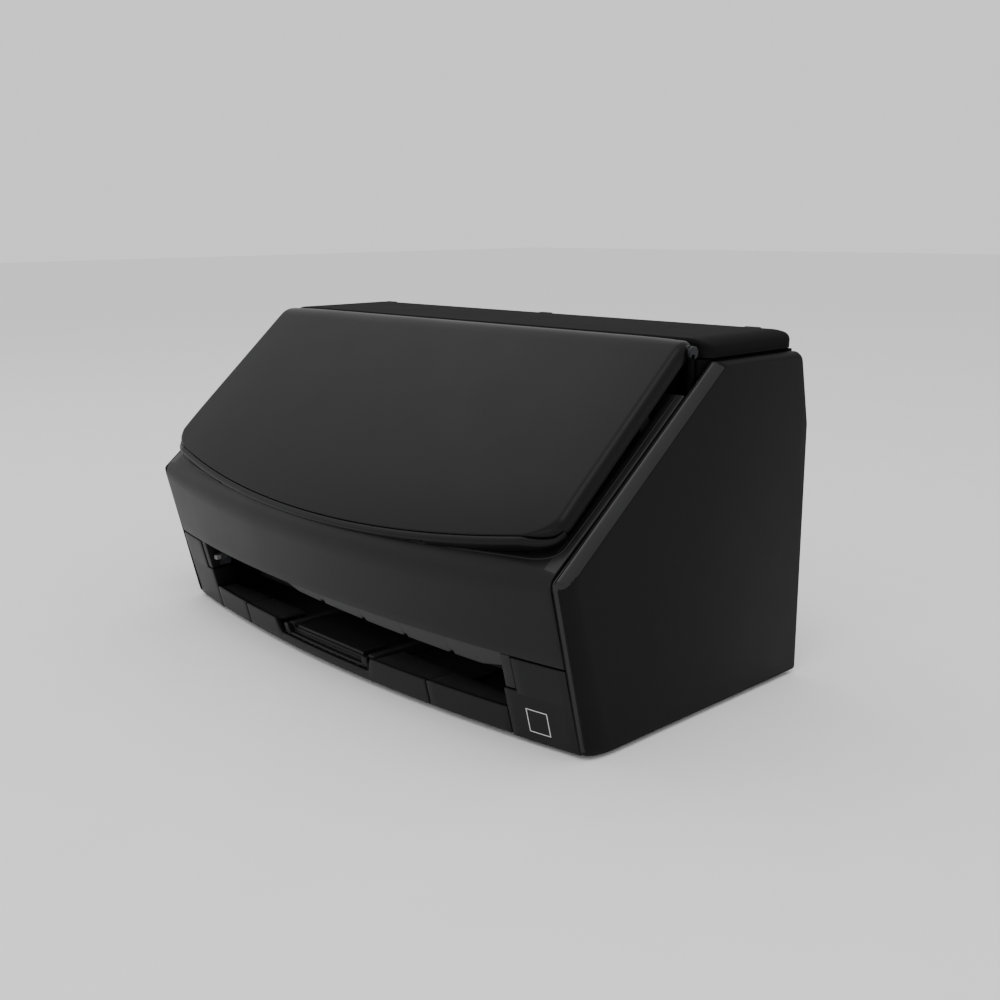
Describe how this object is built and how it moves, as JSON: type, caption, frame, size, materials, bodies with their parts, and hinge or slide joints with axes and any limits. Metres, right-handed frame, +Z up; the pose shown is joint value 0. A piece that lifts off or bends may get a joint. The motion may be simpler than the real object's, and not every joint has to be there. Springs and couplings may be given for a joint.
{
  "type": "sheet fed document scanner",
  "caption": "Compact desktop sheet fed document scanner with a folding chute lid, telescoping paper stacker and a geared roller drive, closed for storage.",
  "frame": {"origin": "bottom centre of the whole scanner, on the surface that it stands on", "axes": "+X to the scanner's right seen from the front, +Y to the rear, +Z up; the front faces -Y"},
  "size_m": [0.292, 0.161, 0.152],
  "materials": {
    "housing_black": "satin black moulded plastic",
    "lid_black": "satin black moulded plastic, fine grain",
    "frame_grey": "dark grey moulded plastic",
    "gear_white": "natural acetal",
    "shaft_steel": "turned steel",
    "roller_rubber": "matte",
    "foot_rubber": "matte",
    "scan_glass": "clear, polished",
    "board_green": "solder mask",
    "button_blue": "satin"
  },
  "bodies": {
    "root": {"left_side_panel": "housing_black", "right_side_panel": "housing_black", "rear_cover": "housing_black", "top_rear_cover": "housing_black", "base_tray": "housing_black", "foot_front_left": "foot_rubber", "foot_rear_left": "foot_rubber", "foot_front_right": "foot_rubber", "foot_rear_right": "foot_rubber", "left_front_block": "housing_black", "right_front_block": "housing_black", "left_frame_plate": "frame_grey", "right_frame_plate": "frame_grey", "throat_ramp": "frame_grey", "lower_guide_plate": "frame_grey", "lower_scan_unit": "frame_grey", "lower_scan_glass": "scan_glass", "upper_scan_unit": "frame_grey", "upper_scan_glass": "scan_glass", "exit_guide": "frame_grey", "main_board": "board_green", "power_inlet": "frame_grey", "usb_socket": "shaft_steel", "top_section_cover": "housing_black", "top_section_frame": "frame_grey", "top_section_pin_left": "shaft_steel", "top_section_pin_right": "shaft_steel", "lid_hinge_bracket_left": "frame_grey", "lid_hinge_bracket_right": "frame_grey", "drive_motor": "shaft_steel"},
    "lid": {"lid_outer_shell": "lid_black", "lid_inner_shell": "frame_grey"},
    "chute_extension": {"chute_extension": "frame_grey"},
    "left_guide": {"left_guide": "frame_grey"},
    "right_guide": {"right_guide": "frame_grey"},
    "guide_pinion": {"guide_pinion": "gear_white"},
    "stacker_stage_1": {"stacker_stage_1": "housing_black"},
    "stacker_stage_2": {"stacker_stage_2": "housing_black"},
    "stacker_stage_3": {"stacker_stage_3": "housing_black"},
    "stacker_flap": {"stacker_flap": "housing_black"},
    "scan_button": {"scan_button": "button_blue"},
    "cover_open_lever": {"cover_open_lever": "frame_grey"},
    "pick_roller": {"pick_shaft": "shaft_steel", "pick_tyre": "roller_rubber", "pick_gear": "gear_white"},
    "feed_roller": {"feed_shaft": "shaft_steel", "feed_tyre_left": "roller_rubber", "feed_tyre_right": "roller_rubber", "feed_gear": "gear_white"},
    "eject_roller": {"eject_shaft": "shaft_steel", "eject_tyre_left": "roller_rubber", "eject_tyre_right": "roller_rubber", "eject_gear": "gear_white"},
    "idler_gear_upper": {"idler_gear_upper": "gear_white"},
    "idler_gear_lower": {"idler_gear_lower": "gear_white"},
    "transfer_gear": {"transfer_gear": "gear_white"},
    "motor_pinion": {"motor_pinion": "shaft_steel"},
    "brake_roller": {"brake_roller": "gear_white"},
    "feed_idler_roller": {"feed_idler_roller": "gear_white"},
    "eject_idler_roller": {"eject_idler_roller": "gear_white"}
  },
  "joints": [
    {"name": "lid_hinge", "type": "hinge", "parent": "root", "child": "lid", "pos_m": [0, 0.0086, 0.1489], "axis": [-1, 0, 0], "range_deg": [0, 157.8]},
    {"name": "extension_slide", "type": "slide", "parent": "lid", "child": "chute_extension", "axis": [0, -0.7517, -0.6595], "range_m": [0, 0.048]},
    {"name": "left_guide_slide", "type": "slide", "parent": "lid", "child": "left_guide", "axis": [1, 0, 0], "range_m": [0, 0.08]},
    {"name": "right_guide_slide", "type": "slide", "parent": "lid", "child": "right_guide", "axis": [1, 0, 0], "range_m": [-0.08, 0]},
    {"name": "guide_pinion_spin", "type": "hinge", "parent": "lid", "child": "guide_pinion", "pos_m": [0, -0.01771, 0.1258], "axis": [0, -0.6595, 0.7517], "range_deg": [-917.23, 0]},
    {"name": "stacker_1_slide", "type": "slide", "parent": "root", "child": "stacker_stage_1", "axis": [0, -1, 0], "range_m": [0, 0.085]},
    {"name": "stacker_2_slide", "type": "slide", "parent": "stacker_stage_1", "child": "stacker_stage_2", "axis": [0, -1, 0], "range_m": [0, 0.08]},
    {"name": "stacker_3_slide", "type": "slide", "parent": "stacker_stage_2", "child": "stacker_stage_3", "axis": [0, -1, 0], "range_m": [0, 0.07]},
    {"name": "stacker_flap_hinge", "type": "hinge", "parent": "stacker_stage_3", "child": "stacker_flap", "pos_m": [0, -0.06132, 0.0113], "axis": [1, 0, 0], "range_deg": [0, 95]},
    {"name": "scan_button_press", "type": "slide", "parent": "root", "child": "scan_button", "axis": [0, 0.6307, -0.7761], "range_m": [0, 0.0008], "stiffness_N_per_m": 400},
    {"name": "cover_lever_turn", "type": "hinge", "parent": "root", "child": "cover_open_lever", "pos_m": [0, -0.0102, 0.1115], "axis": [1, 0, 0], "range_deg": [0, 12], "stiffness_Nm_per_rad": 0.05},
    {"name": "feed_spin", "type": "hinge", "parent": "root", "child": "feed_roller", "pos_m": [0, -0.02993, 0.06371], "axis": [1, 0, 0], "continuous": true},
    {"name": "pick_spin", "type": "hinge", "parent": "root", "child": "pick_roller", "pos_m": [0, -0.01705, 0.08947], "axis": [1, 0, 0], "continuous": true},
    {"name": "eject_spin", "type": "hinge", "parent": "root", "child": "eject_roller", "pos_m": [0, -0.04281, 0.03795], "axis": [1, 0, 0], "continuous": true},
    {"name": "idler_upper_spin", "type": "hinge", "parent": "root", "child": "idler_gear_upper", "pos_m": [0, -0.02349, 0.07659], "axis": [1, 0, 0], "continuous": true},
    {"name": "idler_lower_spin", "type": "hinge", "parent": "root", "child": "idler_gear_lower", "pos_m": [0, -0.03637, 0.05083], "axis": [1, 0, 0], "continuous": true},
    {"name": "transfer_spin", "type": "hinge", "parent": "root", "child": "transfer_gear", "pos_m": [0, -0.01383, 0.05566], "axis": [1, 0, 0], "continuous": true},
    {"name": "motor_spin", "type": "hinge", "parent": "root", "child": "motor_pinion", "pos_m": [0, -0.00014, 0.04882], "axis": [1, 0, 0], "continuous": true},
    {"name": "brake_spin", "type": "hinge", "parent": "root", "child": "brake_roller", "pos_m": [0, -0.02849, 0.0952], "axis": [1, 0, 0], "continuous": true},
    {"name": "feed_idler_spin", "type": "hinge", "parent": "root", "child": "feed_idler_roller", "pos_m": [0, -0.04191, 0.06971], "axis": [1, 0, 0], "continuous": true},
    {"name": "eject_idler_spin", "type": "hinge", "parent": "root", "child": "eject_idler_roller", "pos_m": [0, -0.05479, 0.04395], "axis": [1, 0, 0], "continuous": true}
  ],
  "couplings": [
    {"joint": "extension_slide", "follows": "lid_hinge", "m_per_rad": 0.017408},
    {"joint": "right_guide_slide", "follows": "left_guide_slide", "ratio": -1},
    {"joint": "guide_pinion_spin", "follows": "left_guide_slide", "rad_per_m": -200},
    {"joint": "pick_spin", "follows": "feed_spin", "ratio": 1},
    {"joint": "eject_spin", "follows": "feed_spin", "ratio": 1},
    {"joint": "idler_upper_spin", "follows": "feed_spin", "ratio": -1},
    {"joint": "idler_lower_spin", "follows": "feed_spin", "ratio": -1},
    {"joint": "transfer_spin", "follows": "feed_spin", "ratio": -0.66667},
    {"joint": "motor_spin", "follows": "feed_spin", "ratio": 1.6},
    {"joint": "brake_spin", "follows": "feed_spin", "ratio": -1.8182},
    {"joint": "feed_idler_spin", "follows": "feed_spin", "ratio": -1.6},
    {"joint": "eject_idler_spin", "follows": "feed_spin", "ratio": -1.6}
  ]
}
